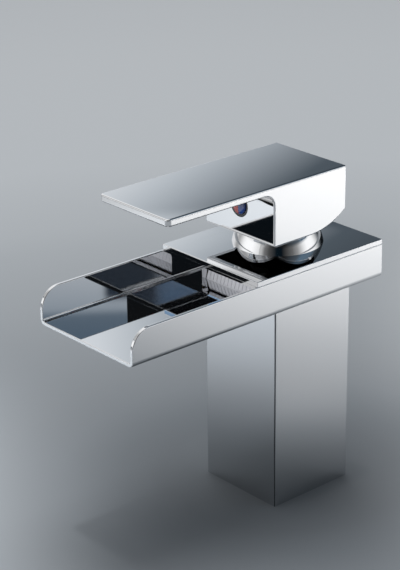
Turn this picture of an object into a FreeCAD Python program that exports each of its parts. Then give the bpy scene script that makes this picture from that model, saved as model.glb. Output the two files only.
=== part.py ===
import FreeCAD, Part
import math
import os

from FreeCAD import Vector

# Single-lever waterfall basin faucet, as the separate pieces it is assembled from.
# Millimetres.  +Z is up, the spout points to -Y, X is the width.  The origin is on the deck,
# at the middle of the column's foot, on the axis of the valve.

# ---------------------------------------------------------------- driving sizes
# column
COLUMN_SIDE = 49.0
COLUMN_HEIGHT = 105.0
COLUMN_WALL = 2.5
COLUMN_EDGE = 0.9
COLUMN_WEB = 4.0

# trough of bent sheet
SPOUT_WIDTH = 66.0
SPOUT_REACH = 116.0
REAR_REACH = 37.0
SHEET = 1.8
TROUGH_HEIGHT = 17.2
BEND_INSIDE = 1.2
LIP_RADIUS = 10.0
RIM_EDGE = 0.4

# cover over the water chamber
COVER_REACH = 43.5
COVER_THICKNESS = 2.6
COVER_EDGE = 0.35

# outlet of the water chamber
BAFFLE_REACH = 30.2
BAFFLE_THICKNESS = 3.2
COMB_WIDTH = 40.0
COMB_HEIGHT = 6.2
COMB_CORNER = 1.4
COMB_RECESS = 2.4
COMB_BEHIND = 1.0
COMB_PITCH = 2.5
COMB_SLOT = 1.1
COMB_BRIDGE = 0.8
COMB_LEAN = 18.0

# valve body
NECK_RADIUS = 19.6
NECK_PROUD = 1.0
NUT_THREAD_RADIUS = 18.0
NUT_THREAD_HEIGHT = 8.0
BODY_GASKET = 0.8
PORT_BLOCK = 18.8
INLET_SPREAD = 9.0
INLET_RADIUS = 4.5
INLET_DEPTH = 10.0
RISER_RADIUS = 2.5
RISER_PLACE = 18.0
GALLERY_RADIUS = 3.2
GALLERY_DEPTH = 5.8
FEED_RADIUS = 2.7
DRILL_OVERRUN = 1.0
LOCK_RING_RADIUS = 22.6
LOCK_RING_HEIGHT = 5.0

# cartridge
CARTRIDGE_RADIUS = 17.5
CARTRIDGE_HEIGHT = 22.0
CARTRIDGE_WALL = 2.1
CARTRIDGE_ROOF = 1.6
CARTRIDGE_BASE = 5.0
PORT_RADIUS = 3.0
PORT_SPREAD = 8.5
PORT_BACK = 4.5
OUTLET_FRONT = 8.5
SEAL_WIDTH = 1.3
PORT_SEAL_HEIGHT = 2.6
DISC_SEAL_HEIGHT = 1.2
FIXED_DISC_RADIUS = 15.2
MOVING_DISC_RADIUS = 11.0
DISC_THICKNESS = 3.5
CARRIER_HEIGHT = 3.6
CARRIER_FLOOR = 0.4
ROTOR_NECK_RADIUS = 10.5
ROTOR_NECK_HEIGHT = 9.2
SHELL_NECK_RADIUS = 13.6
SHELL_NECK_HEIGHT = 10.2
PIVOT_RISE = 0.8
PIN_RADIUS = 1.5

# lever stem
STEM_WIDTH = 6.0
STEM_SQUARE = 8.0
STEM_ROD_RADIUS = 1.8
STEM_BALL_RADIUS = 2.2
LIFT_DEGREES = 25.0

# nut and dome that close the valve
NUT_HEX_FLATS = 30.0
NUT_HEX_HEIGHT = 3.4
DOME_RADIUS = 21.7
DOME_DROP = 4.0
DOME_HEIGHT = 11.0
DOME_WALL = 1.6
DOME_OPENING = 13.5

# lever handle
HANDLE_WIDTH = 47.4
HANDLE_REACH = 87.3
PADDLE_THICKNESS = 3.5
HUB_FRONT = 24.4
HUB_BACK = 21.4
HUB_GAP = 9.0
HUB_HEIGHT = 29.2
HUB_WALL = 3.0
HUB_ROOF = 4.5
HUB_FILLET = 6.0
SWEEP_START = -1.5
SWEEP_RADIUS = 37.0
HANDLE_EDGE = 0.8
HANDLE_CORNER = 2.2
BOSS_WALL = 3.4
BOSS_RISE = 9.2
STEM_TOP_DROP = 8.0

# hot and cold indicator, and the screw behind it
INDICATOR_RADIUS = 5.8
INDICATOR_RISE = 14.6
INDICATOR_DEPTH = 4.0
INDICATOR_SUNK = 0.1
LENS_RADIUS = 4.4
LENS_SEAT = 1.2
LENS_PROUD = 0.9
LENS_EDGE = 0.5
GRUB_RADIUS = 2.5
GRUB_LENGTH = 8.0
HEX_SOCKET_FLATS = 2.5

# foot and the clamp below the deck
BASE_PLATE = 8.0
HOSE_HOLE_RADIUS = 7.2
GASKET_RADIUS = 20.0
GASKET_WIDTH = 2.4
GASKET_DEPTH = 1.6
STUD_RADIUS = 3.0
STUD_SPREAD = 13.0
STUD_LENGTH = 62.0
STUD_BITE = 7.0
DECK_THICKNESS = 30.0
CLAMP_RADIUS = 25.0
CLAMP_SLOT = 16.0
CLAMP_RUBBER = 3.0
CLAMP_STEEL = 2.0
CLAMP_NUT_FLATS = 10.0
CLAMP_NUT_HEIGHT = 5.0

# clearances
FIT = 0.1          # turned piece in its bore
THREAD_FIT = 0.1   # thread flanks, drawn as plain cylinders
SLIDE = 0.1        # sliding faces of the cartridge
LOOSE = 0.2        # holes that pieces only pass through

# ---------------------------------------------------------------- levels and half widths
BEND_RADIUS = BEND_INSIDE + SHEET
HALF_WIDTH = SPOUT_WIDTH / 2
HALF_INSIDE = HALF_WIDTH - SHEET
HALF_COLUMN = COLUMN_SIDE / 2
HALF_HOLLOW = HALF_COLUMN - COLUMN_WALL
HALF_HANDLE = HANDLE_WIDTH / 2

TROUGH_Z = COLUMN_HEIGHT
FLOOR_Z = TROUGH_Z + SHEET
RIM_Z = TROUGH_Z + TROUGH_HEIGHT
COVER_Z = RIM_Z + COVER_THICKNESS
WEB_Z = TROUGH_Z - COLUMN_WEB
BLOCK_Z = WEB_Z - BODY_GASKET
NECK_Z = COVER_Z + NECK_PROUD
SHOULDER_Z = NECK_Z - NUT_THREAD_HEIGHT
SEAT_Z = SHOULDER_Z - CARTRIDGE_HEIGHT
INLET_Z = SEAT_Z - PORT_BLOCK
GALLERY_Z = SEAT_Z - GALLERY_DEPTH
FIXED_DISC_Z = SEAT_Z + CARTRIDGE_BASE
MOVING_DISC_Z = FIXED_DISC_Z + DISC_THICKNESS
CARRIER_Z = MOVING_DISC_Z + DISC_THICKNESS
ROTOR_Z = CARRIER_Z + CARRIER_HEIGHT + 4 * SLIDE
ROTOR_TOP_Z = SHOULDER_Z - CARTRIDGE_ROOF - SLIDE
PIVOT_Z = SHOULDER_Z + PIVOT_RISE
BALL_Z = CARRIER_Z + CARRIER_FLOOR + LOOSE + STEM_BALL_RADIUS
HUB_Z = COVER_Z + HUB_GAP
TOP_Z = HUB_Z + HUB_HEIGHT
PADDLE_Z = TOP_Z - PADDLE_THICKNESS
BOSS_Z = HUB_Z + BOSS_RISE
STEM_TOP_Z = TOP_Z - STEM_TOP_DROP
INDICATOR_Z = HUB_Z + INDICATOR_RISE

CARTRIDGE_BORE = CARTRIDGE_RADIUS + FIT
SHELL_INSIDE = CARTRIDGE_RADIUS - CARTRIDGE_WALL
SHELL_NECK_INSIDE = ROTOR_NECK_RADIUS + SLIDE
CLAMP_HOLE = STUD_RADIUS + LOOSE
ARM = PIVOT_Z - BALL_Z


# ---------------------------------------------------------------- shape helpers
def box(x, y, z):
    """Block between the (low, high) limits on each axis."""
    corner = Vector(x[0], y[0], z[0])
    return Part.makeBox(x[1] - x[0], y[1] - y[0], z[1] - z[0], corner)


def rod(radius, z, x=0.0, y=0.0):
    """Upright cylinder between the (low, high) heights."""
    return Part.makeCylinder(radius, z[1] - z[0], Vector(x, y, z[0]))


def rod_x(radius, x, y, z):
    """Cylinder along X between the (low, high) limits."""
    return Part.makeCylinder(radius, x[1] - x[0], Vector(x[0], y, z), Vector(1, 0, 0))


def rod_y(radius, y, z, x=0.0):
    """Cylinder along Y between the (low, high) limits."""
    return Part.makeCylinder(radius, y[1] - y[0], Vector(x, y[0], z), Vector(0, 1, 0))


def tube(outer, inner, z, x=0.0, y=0.0):
    """Upright ring between the (low, high) heights."""
    return rod(outer, z, x, y).cut(rod(inner, z, x, y))


def line(a, b):
    """Straight edge."""
    return Part.LineSegment(a, b).toShape()


def arc(a, middle, b):
    """Round edge through three points."""
    return Part.Arc(a, middle, b).toShape()


def corner_point(centre, radius, direction):
    """Middle point of a quarter arc, on the side that direction points to."""
    return centre + direction.normalize() * radius


def prism(edges, along):
    """Closed outline pushed along a vector."""
    return Part.Face(Part.Wire(edges)).extrude(along)


def rounded_column(half_x, half_y, radius, z):
    """Upright bar with a rounded rectangular section."""
    block = box((-half_x, half_x), (-half_y, half_y), z)
    upright = [edge for edge in block.Edges if abs(edge.tangentAt(edge.FirstParameter).z) > 0.9]
    return block.makeFillet(radius, upright)


def hexagon(flats, height, base, axis):
    """Hexagonal bar standing on a point, along an axis."""
    radius = flats / math.sqrt(3)
    side = Vector(1, 0, 0) if abs(axis.x) < 0.5 else Vector(0, 1, 0)
    other = axis.cross(side)
    turns = [math.radians(60 * k) for k in range(6)]
    points = [base + side * (radius * math.cos(a)) + other * (radius * math.sin(a)) for a in turns]
    edges = [line(points[k], points[(k + 1) % 6]) for k in range(6)]
    return prism(edges, axis * height)


def mirrored_x(x):
    """The place and its mirror image across the middle plane."""
    return (-x, x)


def save(name, *solids):
    """Write the solids of one node to its file."""
    shape = solids[0] if len(solids) == 1 else Part.makeCompound(list(solids))
    for solid in shape.Solids:
        assert solid.isValid() and solid.isClosed(), name
    shape.exportStep("parts/" + name + ".step")
    print(name, len(shape.Solids), round(shape.Volume, 1))


# ---------------------------------------------------------------- column and foot
def column_shell():
    """Square column, open at the foot, with a web at the top that carries the trough."""
    outside = rounded_column(HALF_COLUMN, HALF_COLUMN, COLUMN_EDGE, (0, TROUGH_Z))
    hollow = box((-HALF_HOLLOW, HALF_HOLLOW), (-HALF_HOLLOW, HALF_HOLLOW), (0, WEB_Z))
    shell = outside.cut(hollow).cut(rod(NECK_RADIUS + LOOSE, (WEB_Z, TROUGH_Z)))
    return shell.cut(riser_holes((WEB_Z, TROUGH_Z)))


def riser_holes(z):
    """Two holes that the mixed water passes, in front of the neck."""
    left, right = mirrored_x(RISER_PLACE)
    radius = RISER_RADIUS + LOOSE
    return rod(radius, z, left, -RISER_PLACE).fuse(rod(radius, z, right, -RISER_PLACE))


def base_plate():
    """Plate brazed into the column's foot, with hose holes, stud threads and a gasket groove."""
    half = HALF_HOLLOW - FIT / 2
    plate = box((-half, half), (-half, half), (0, BASE_PLATE))
    for x in mirrored_x(INLET_SPREAD):
        plate = plate.cut(rod(HOSE_HOLE_RADIUS, (0, BASE_PLATE), x))
    for y in mirrored_x(STUD_SPREAD):
        plate = plate.cut(rod(STUD_RADIUS + THREAD_FIT, (0, STUD_BITE), 0, y))
    return plate.cut(gasket_ring(LOOSE / 2))


def gasket_ring(growth=0.0):
    """Ring in the underside of the foot."""
    outer = GASKET_RADIUS + GASKET_WIDTH / 2 + growth
    inner = GASKET_RADIUS - GASKET_WIDTH / 2 - growth
    return tube(outer, inner, (0, GASKET_DEPTH + growth))


def mounting_studs():
    """Two threaded studs that hang from the base plate through the deck."""
    top = STUD_BITE - LOOSE
    bottom = top - STUD_LENGTH
    studs = []
    for y in mirrored_x(STUD_SPREAD):
        stud = rod(STUD_RADIUS, (bottom, top), 0, y)
        end = [edge for edge in stud.Edges if edge.BoundBox.ZMax < bottom + FIT]
        studs.append(stud.makeChamfer(STUD_RADIUS / 5, end))
    return studs


def horseshoe(z):
    """Round plate with a slot for the hoses, open to one side, and two stud holes."""
    plate = rod(CLAMP_RADIUS, z)
    slot_end = -(INLET_SPREAD + HOSE_HOLE_RADIUS)
    half = CLAMP_SLOT / 2
    slot = rod(half, z, slot_end + half)
    slot = slot.fuse(box((slot_end + half, 2 * CLAMP_RADIUS), (-half, half), z))
    for y in mirrored_x(STUD_SPREAD):
        slot = slot.fuse(rod(CLAMP_HOLE, z, 0, y))
    return plate.cut(slot)


def clamp_nuts(z):
    """Hexagon nuts that draw the clamp against the underside of the deck."""
    nuts = []
    for y in mirrored_x(STUD_SPREAD):
        nut = hexagon(CLAMP_NUT_FLATS, CLAMP_NUT_HEIGHT, Vector(0, y, z), Vector(0, 0, 1))
        nuts.append(nut.cut(rod(STUD_RADIUS + THREAD_FIT, (z, z + CLAMP_NUT_HEIGHT), 0, y)))
    return nuts


# ---------------------------------------------------------------- trough, cover, outlet
def spout_trough():
    """U of bent sheet: floor and two walls, with rounded upper corners at the lip."""
    outer = BEND_RADIUS
    inner = BEND_INSIDE
    front = -SPOUT_REACH
    edges = []
    bends = []
    for side in (-1, 1):
        centre = Vector(side * (HALF_WIDTH - outer), front, TROUGH_Z + outer)
        toward = Vector(side, 0, -1)
        wall = Vector(side * HALF_WIDTH, front, centre.z)
        floor = Vector(centre.x, front, TROUGH_Z)
        wall_in = Vector(side * HALF_INSIDE, front, centre.z)
        floor_in = Vector(centre.x, front, FLOOR_Z)
        top = Vector(side * HALF_WIDTH, front, RIM_Z)
        top_in = Vector(side * HALF_INSIDE, front, RIM_Z)
        edges.append(arc(wall, corner_point(centre, outer, toward), floor))
        edges.append(arc(wall_in, corner_point(centre, inner, toward), floor_in))
        edges += [line(top, wall), line(top_in, wall_in), line(top, top_in)]
        bends.append((floor, floor_in))
    edges.append(line(bends[0][0], bends[1][0]))
    edges.append(line(bends[0][1], bends[1][1]))
    wire = Part.Wire(Part.__sortEdges__(edges))
    trough = Part.Face(wire).extrude(Vector(0, SPOUT_REACH + REAR_REACH, 0))
    trough = trough.cut(lip_corners())
    trough = trough.cut(rod(NECK_RADIUS + LOOSE, (TROUGH_Z, FLOOR_Z)))
    trough = trough.cut(riser_holes((TROUGH_Z, FLOOR_Z)))
    return trough.makeFillet(RIM_EDGE, rim_edges(trough))


def lip_corners():
    """What the rounded upper corners of both walls leave out, across the whole width."""
    reach = -SPOUT_REACH + LIP_RADIUS
    bottom = RIM_Z - LIP_RADIUS
    corner = box((-SPOUT_WIDTH, SPOUT_WIDTH), (-2 * SPOUT_REACH, reach), (bottom, 2 * RIM_Z))
    return corner.cut(rod_x(LIP_RADIUS, (-SPOUT_WIDTH, SPOUT_WIDTH), reach, bottom))


def rim_edges(trough):
    """Edges along the lip corners and the open part of the wall tops."""
    found = []
    for edge in trough.Edges:
        limits = edge.BoundBox
        at_wall = min(abs(abs(limits.XMin) - HALF_WIDTH), abs(abs(limits.XMin) - HALF_INSIDE)) < FIT
        thin = limits.XLength < FIT
        high = limits.ZMin > TROUGH_Z + BEND_RADIUS - FIT
        long_enough = limits.YLength > LIP_RADIUS / 2
        if at_wall and thin and high and long_enough:
            found.append(edge)
    return found


def chamber_plate(y):
    """Upright plate across the trough, its lower corners rounded to follow the bends."""
    half = HALF_INSIDE - FIT / 2
    plate = box((-half, half), y, (FLOOR_Z, RIM_Z))
    lower = [edge for edge in plate.Edges if at_lower_corner(edge.BoundBox, half)]
    return plate.makeFillet(BEND_INSIDE, lower)


def at_lower_corner(limits, half):
    """True for an edge along Y at a lower corner of a plate of this half width."""
    low = limits.ZMax < FLOOR_Z + FIT
    return low and limits.XLength < FIT and abs(abs(limits.XMin) - half) < FIT


def rear_plate():
    """Plate brazed between the walls that closes the back of the water chamber."""
    return chamber_plate((REAR_REACH - SHEET, REAR_REACH))


def window_bar(growth, y):
    """Bar along Y with the section of the window: flat on the floor, rounded above."""
    half = COMB_WIDTH / 2 + growth
    top = FLOOR_Z + COMB_HEIGHT + growth
    bar = box((-half, half), y, (FLOOR_Z, top))
    upper = [edge for edge in bar.Edges if edge.BoundBox.ZMin > top - FIT and edge.BoundBox.XLength < FIT]
    return bar.makeFillet(COMB_CORNER + growth, upper)


def outlet_baffle():
    """Front wall of the water chamber, with a window on the floor for the comb."""
    y = (-BAFFLE_REACH, BAFFLE_THICKNESS - BAFFLE_REACH)
    return chamber_plate(y).cut(window_bar(FIT, y))


def flow_comb():
    """Ribbed block, set back in the window, that straightens the water; its face leans back."""
    half = COMB_WIDTH / 2
    front = COMB_RECESS - BAFFLE_REACH
    back = -LOCK_RING_RADIUS - COMB_BEHIND
    top = FLOOR_Z + COMB_HEIGHT
    lean = COMB_HEIGHT * math.tan(math.radians(COMB_LEAN))
    outline = [Vector(-half, front, FLOOR_Z), Vector(-half, back, FLOOR_Z)]
    outline += [Vector(-half, back, top), Vector(-half, front + lean, top)]
    edges = [line(outline[k], outline[(k + 1) % 4]) for k in range(4)]
    comb = prism(edges, Vector(COMB_WIDTH, 0, 0)).common(window_bar(0, (front, back)))
    count = int((COMB_WIDTH - COMB_SLOT) / COMB_PITCH)
    z = (FLOOR_Z + COMB_BRIDGE, top - COMB_BRIDGE)
    for k in range(count):
        x = (k - (count - 1) / 2) * COMB_PITCH
        slot = box((x - COMB_SLOT / 2, x + COMB_SLOT / 2), (front - FIT, back + FIT), z)
        comb = comb.cut(slot)
    return comb


def top_cover():
    """Flat plate on the wall tops, with the hole that the valve neck passes."""
    y = (-COVER_REACH, REAR_REACH)
    plate = box((-HALF_WIDTH, HALF_WIDTH), y, (RIM_Z, COVER_Z))
    plate = plate.makeFillet(COVER_EDGE, plate.Edges)
    return plate.cut(rod(NECK_RADIUS + LOOSE, (RIM_Z, COVER_Z)))


# ---------------------------------------------------------------- valve body
def valve_body():
    """Brass block in the top of the column; its neck passes the trough and the cover."""
    half = HALF_HOLLOW - LOOSE
    block = box((-half, half), (-half, half), (INLET_Z, BLOCK_Z))
    body = block.fuse(rod(NECK_RADIUS, (BLOCK_Z, NECK_Z)))
    body = body.cut(rod(CARTRIDGE_BORE, (SEAT_Z, NECK_Z)))
    body = body.cut(rod(NUT_THREAD_RADIUS + THREAD_FIT, (SHOULDER_Z, NECK_Z)))
    for x in mirrored_x(INLET_SPREAD):
        body = body.cut(rod(INLET_RADIUS, (INLET_Z, INLET_Z + INLET_DEPTH), x))
    for x in mirrored_x(PORT_SPREAD):
        body = body.cut(rod(PORT_RADIUS, (INLET_Z + INLET_DEPTH - PORT_RADIUS, SEAT_Z), x, PORT_BACK))
    drilled_to = GALLERY_Z - DRILL_OVERRUN
    feed = (-RISER_PLACE - DRILL_OVERRUN, -OUTLET_FRONT + DRILL_OVERRUN)
    reach = RISER_PLACE + DRILL_OVERRUN
    body = body.cut(rod(PORT_RADIUS, (drilled_to, SEAT_Z), 0, -OUTLET_FRONT))
    body = body.cut(rod_y(FEED_RADIUS, feed, GALLERY_Z))
    body = body.cut(rod_x(GALLERY_RADIUS, (-reach, reach), -RISER_PLACE, GALLERY_Z))
    for x in mirrored_x(RISER_PLACE):
        body = body.cut(rod(RISER_RADIUS, (drilled_to, BLOCK_Z), x, -RISER_PLACE))
    return body


def valve_gasket():
    """Flat seal between the block and the web of the column."""
    half = HALF_HOLLOW - LOOSE
    sheet = box((-half, half), (-half, half), (BLOCK_Z, WEB_Z))
    return sheet.cut(rod(NECK_RADIUS + LOOSE, (BLOCK_Z, WEB_Z))).cut(riser_holes((BLOCK_Z, WEB_Z)))


def valve_lock_ring():
    """Round nut on the neck that clamps the trough and the column's web to the block."""
    z = (FLOOR_Z, FLOOR_Z + LOCK_RING_HEIGHT)
    ring = tube(LOCK_RING_RADIUS, NECK_RADIUS + THREAD_FIT, z)
    notch = LOCK_RING_HEIGHT / 2
    for turn in range(4):
        cut = box((LOCK_RING_RADIUS - 1, LOCK_RING_RADIUS + 1), (-notch / 2, notch / 2), (z[0] + notch, z[1]))
        cut.rotate(Vector(0, 0, 0), Vector(0, 0, 1), 90 * turn)
        ring = ring.cut(cut)
    return ring


# ---------------------------------------------------------------- cartridge
def port_places():
    """Hot, cold and mixed ports in the seat."""
    left, right = mirrored_x(PORT_SPREAD)
    return [(left, PORT_BACK), (right, PORT_BACK), (0, -OUTLET_FRONT)]


def port_holes(z):
    """The three ports through a disc."""
    holes = [rod(PORT_RADIUS, z, x, y) for x, y in port_places()]
    return Part.makeCompound(holes)


def port_rings(z, growth=0.0):
    """Rings round the three ports; with growth, the pockets that hold them."""
    outer = PORT_RADIUS + SEAL_WIDTH + growth
    return [tube(outer, PORT_RADIUS + FIT - growth, z, x, y) for x, y in port_places()]


def cartridge_base():
    """Moulded base with seal pockets below and above."""
    z = (SEAT_Z, FIXED_DISC_Z)
    base = rod(CARTRIDGE_RADIUS, z)
    below = port_rings((SEAT_Z, SEAT_Z + PORT_SEAL_HEIGHT + FIT), FIT)
    above = port_rings((FIXED_DISC_Z - DISC_SEAL_HEIGHT - FIT, FIXED_DISC_Z), FIT)
    for ring in below + above:
        base = base.cut(ring)
    return base.cut(port_holes(z))


def cartridge_shell():
    """Moulded shell round the discs, with a neck that guides the rotor."""
    body = rod(CARTRIDGE_RADIUS, (FIXED_DISC_Z, SHOULDER_Z))
    body = body.fuse(rod(SHELL_NECK_RADIUS, (SHOULDER_Z, SHOULDER_Z + SHELL_NECK_HEIGHT)))
    body = body.cut(rod(SHELL_INSIDE, (FIXED_DISC_Z, SHOULDER_Z - CARTRIDGE_ROOF)))
    return body.cut(rod(SHELL_NECK_INSIDE, (FIXED_DISC_Z, SHOULDER_Z + SHELL_NECK_HEIGHT)))


def fixed_disc():
    """Ceramic disc with the three ports."""
    z = (FIXED_DISC_Z, MOVING_DISC_Z)
    return rod(FIXED_DISC_RADIUS, z).cut(port_holes(z))


def moving_disc():
    """Ceramic disc that slides over the ports; the hollow below it joins them."""
    z = (MOVING_DISC_Z + SLIDE / 2, CARRIER_Z)
    disc = rod(MOVING_DISC_RADIUS, z)
    hollow = MOVING_DISC_RADIUS / 2
    return disc.cut(rod(hollow, (z[0], z[0] + DISC_THICKNESS / 2), 0, -hollow / 2))


def disc_carrier():
    """Moulded slider on the moving disc, with the socket of the stem's ball."""
    z = (CARRIER_Z, CARRIER_Z + CARRIER_HEIGHT)
    flat = MOVING_DISC_RADIUS - SLIDE
    carrier = rod(MOVING_DISC_RADIUS, z).common(box((-flat, flat), (-2 * flat, 2 * flat), z))
    socket = STEM_BALL_RADIUS + 1.5 * SLIDE
    return carrier.cut(rod(socket, (CARRIER_Z + CARRIER_FLOOR, z[1])))


def cartridge_rotor():
    """Rotor that turns with the lever: disc, slotted neck, and two prongs for the slider."""
    rotor = rod(SHELL_INSIDE - 2 * SLIDE, (ROTOR_Z, ROTOR_TOP_Z))
    neck_top = SHOULDER_Z + ROTOR_NECK_HEIGHT
    rotor = rotor.fuse(rod(ROTOR_NECK_RADIUS, (ROTOR_TOP_Z, neck_top)))
    reach = (neck_top - PIVOT_Z) * math.tan(math.radians(LIFT_DEGREES))
    slot = STEM_WIDTH / 2 + SLIDE
    side = STEM_WIDTH * 0.75
    back = reach + side
    front = -(PIVOT_Z - ROTOR_Z) * math.tan(math.radians(LIFT_DEGREES)) - side
    rotor = rotor.cut(box((-slot, slot), (front, back), (ROTOR_Z, neck_top)))
    inside = MOVING_DISC_RADIUS + SLIDE
    outside = inside + CARTRIDGE_WALL
    prong = math.sqrt((SHELL_INSIDE - 4 * SLIDE) ** 2 - outside ** 2)
    for low, high in ((-outside, -inside), (inside, outside)):
        rotor = rotor.fuse(box((low, high), (-prong, prong), (CARRIER_Z, ROTOR_Z)))
    return rotor.cut(rod_x(PIN_RADIUS, (-CARTRIDGE_RADIUS, CARTRIDGE_RADIUS), 0, PIVOT_Z))


def rotor_pin():
    """Steel pin that the stem tilts on, kept in place by the shell's neck."""
    half = ROTOR_NECK_RADIUS - 2 * SLIDE
    return rod_x(PIN_RADIUS, (-half, half), 0, PIVOT_Z)


def seals():
    """Rings under the base and under the fixed disc."""
    below = port_rings((SEAT_Z, SEAT_Z + PORT_SEAL_HEIGHT))
    above = port_rings((FIXED_DISC_Z - DISC_SEAL_HEIGHT, FIXED_DISC_Z))
    return below, above


def lever_stem():
    """Brass lever: ball in the slider, eye on the pin, square end in the handle."""
    eye = STEM_WIDTH / 2
    neck_top = SHOULDER_Z + ROTOR_NECK_HEIGHT
    stem = Part.makeSphere(STEM_BALL_RADIUS, Vector(0, 0, BALL_Z))
    stem = stem.fuse(rod(STEM_ROD_RADIUS, (BALL_Z, PIVOT_Z)))
    stem = stem.fuse(rod_x(eye, (-eye, eye), 0, PIVOT_Z))
    stem = stem.fuse(box((-eye, eye), (-eye, eye), (PIVOT_Z, neck_top + STEM_WIDTH)))
    square = STEM_SQUARE / 2
    stem = stem.fuse(box((-square, square), (-square, square), (neck_top + STEM_WIDTH / 2, STEM_TOP_Z)))
    return stem.cut(rod_x(PIN_RADIUS + SLIDE / 2, (-STEM_SQUARE, STEM_SQUARE), 0, PIVOT_Z))


# ---------------------------------------------------------------- nut and dome
def retaining_nut():
    """Nut in the neck that holds the cartridge on its seat."""
    z = (SHOULDER_Z, NECK_Z)
    nut = rod(NUT_THREAD_RADIUS, z)
    nut = nut.fuse(hexagon(NUT_HEX_FLATS, NUT_HEX_HEIGHT, Vector(0, 0, NECK_Z), Vector(0, 0, 1)))
    return nut.cut(rod(SHELL_NECK_RADIUS + 2 * FIT, (SHOULDER_Z, NECK_Z + NUT_HEX_HEIGHT)))


def dome_cap():
    """Chromed collar: a zone of a sphere, widest on the cover, screwed on the neck."""
    outer = math.hypot(DOME_RADIUS, DOME_DROP)
    inner = outer - DOME_WALL
    centre = Vector(0, 0, COVER_Z - DOME_DROP)
    top = COVER_Z + DOME_HEIGHT
    zone = Part.makeSphere(outer, centre).common(rod(2 * outer, (COVER_Z, top)))
    roof = top - DOME_WALL
    hollow = Part.makeSphere(inner, centre).common(rod(2 * outer, (COVER_Z, roof)))
    hollow = hollow.fuse(rod(NECK_RADIUS + THREAD_FIT, (COVER_Z, NECK_Z + FIT)))
    return zone.cut(hollow).cut(rod(DOME_OPENING, (roof, top)))


# ---------------------------------------------------------------- handle
def handle_outline():
    """Side view of the lever: paddle, fillet, hub with a flat and a swept underside."""
    rise = SWEEP_RADIUS - math.sqrt(SWEEP_RADIUS ** 2 - (HUB_BACK - SWEEP_START) ** 2)
    half_turn = math.asin((HUB_BACK - SWEEP_START) / SWEEP_RADIUS) / 2
    sweep_y = SWEEP_START + SWEEP_RADIUS * math.sin(half_turn)
    sweep_z = HUB_Z + SWEEP_RADIUS * (1 - math.cos(half_turn))
    fillet_centre = Vector(0, -HUB_FRONT - HUB_FILLET, PADDLE_Z - HUB_FILLET)
    fillet_middle = corner_point(fillet_centre, HUB_FILLET, Vector(0, 1, 1))

    def at(y, z):
        return Vector(0, y, z)

    return [
        line(at(-HANDLE_REACH, TOP_Z), at(HUB_BACK, TOP_Z)),
        line(at(HUB_BACK, TOP_Z), at(HUB_BACK, HUB_Z + rise)),
        arc(at(HUB_BACK, HUB_Z + rise), at(sweep_y, sweep_z), at(SWEEP_START, HUB_Z)),
        line(at(SWEEP_START, HUB_Z), at(-HUB_FRONT, HUB_Z)),
        line(at(-HUB_FRONT, HUB_Z), at(-HUB_FRONT, PADDLE_Z - HUB_FILLET)),
        arc(at(-HUB_FRONT, PADDLE_Z - HUB_FILLET), fillet_middle, at(-HUB_FRONT - HUB_FILLET, PADDLE_Z)),
        line(at(-HUB_FRONT - HUB_FILLET, PADDLE_Z), at(-HANDLE_REACH, PADDLE_Z)),
        line(at(-HANDLE_REACH, PADDLE_Z), at(-HANDLE_REACH, TOP_Z)),
    ]


def at_paddle_tip(limits):
    """True for an upright edge at the front of the paddle."""
    upright = limits.XLength < FIT and limits.YLength < FIT
    return upright and abs(limits.YMin + HANDLE_REACH) < FIT


def lever_handle():
    """Cast lever: flat paddle and hollow hub, with a boss for the stem and the screw."""
    handle = prism(handle_outline(), Vector(HANDLE_WIDTH, 0, 0))
    handle.translate(Vector(-HALF_HANDLE, 0, 0))
    tip = [edge for edge in handle.Edges if at_paddle_tip(edge.BoundBox)]
    handle = handle.makeFillet(HANDLE_CORNER, tip)
    handle = handle.makeFillet(HANDLE_EDGE, handle.Edges)
    inside = HALF_HANDLE - HUB_WALL
    y = (HUB_WALL - HUB_FRONT, HUB_BACK - HUB_WALL)
    hollow = box((-inside, inside), y, (HUB_Z - 1, TOP_Z - HUB_ROOF))
    socket = STEM_SQUARE / 2 + FIT
    boss = socket + BOSS_WALL
    hollow = hollow.cut(box((-boss, boss), (y[0], boss), (BOSS_Z, TOP_Z)))
    handle = handle.cut(hollow)
    handle = handle.cut(box((-socket, socket), (-socket, socket), (BOSS_Z, STEM_TOP_Z + FIT)))
    recess = (-HUB_FRONT - 1, -HUB_FRONT + INDICATOR_SUNK + INDICATOR_DEPTH)
    handle = handle.cut(rod_y(INDICATOR_RADIUS + FIT / 2, recess, INDICATOR_Z))
    return handle.cut(rod_y(GRUB_RADIUS + THREAD_FIT / 2, (-HUB_FRONT, 0), INDICATOR_Z))


def grub_screw():
    """Socket screw that bears on the stem, reached through the indicator's hole."""
    tip = -STEM_SQUARE / 2
    screw = rod_y(GRUB_RADIUS, (tip - GRUB_LENGTH, tip), INDICATOR_Z)
    start = Vector(0, tip - GRUB_LENGTH, INDICATOR_Z)
    return screw.cut(hexagon(HEX_SOCKET_FLATS, GRUB_LENGTH / 3, start, Vector(0, 1, 0)))


def indicator():
    """Cup pressed in the hub, and the button of two half lenses that stands out of it."""
    front = -HUB_FRONT + INDICATOR_SUNK
    cup = rod_y(INDICATOR_RADIUS, (front, front + INDICATOR_DEPTH), INDICATOR_Z)
    face = front - LENS_PROUD
    lens = rod_y(LENS_RADIUS, (face, front + LENS_SEAT), INDICATOR_Z)
    cup = cup.cut(lens)
    rim = [edge for edge in lens.Edges if edge.BoundBox.YMax < face + FIT]
    lens = lens.makeFillet(LENS_EDGE, rim)
    y = (face - FIT, front + LENS_SEAT + FIT)
    z = (INDICATOR_Z - INDICATOR_RADIUS, INDICATOR_Z + INDICATOR_RADIUS)
    hot = lens.common(box((-INDICATOR_RADIUS, 0), y, z))
    cold = lens.common(box((0, INDICATOR_RADIUS), y, z))
    return cup, hot, cold


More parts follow.
